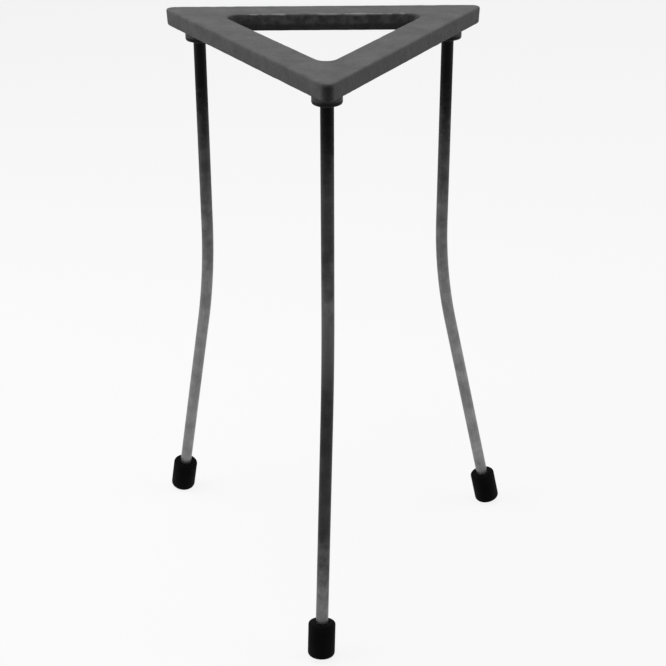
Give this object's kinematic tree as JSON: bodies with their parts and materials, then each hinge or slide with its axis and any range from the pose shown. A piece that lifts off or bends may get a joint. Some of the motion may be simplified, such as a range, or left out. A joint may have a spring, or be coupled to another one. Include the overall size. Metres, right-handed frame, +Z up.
{
  "type": "lab tripod stand",
  "caption": "Laboratory tripod stand: a cast triangular top with an open middle, carried on rod legs that bend outwards, with push-on rubber feet.",
  "frame": {"origin": "on the bench under the middle of the triangular top", "axes": "+Z up, square to the top face. The front corner of the triangle points along -Y, and the back rail runs along X."},
  "size_m": [0.1489, 0.1365, 0.225],
  "materials": {
    "casting": "sand-cast, dark grey enamel with a fine grain, semi-matt",
    "rod": "drawn steel with a dark heat scale that thins to dull bare steel towards the feet",
    "foot": "black moulded rubber, satin"
  },
  "bodies": {
    "root": {"top_frame": "casting", "leg_front": "rod", "leg_right": "rod", "leg_left": "rod", "foot_front": "foot", "foot_right": "foot", "foot_left": "foot"}
  },
  "joints": []
}
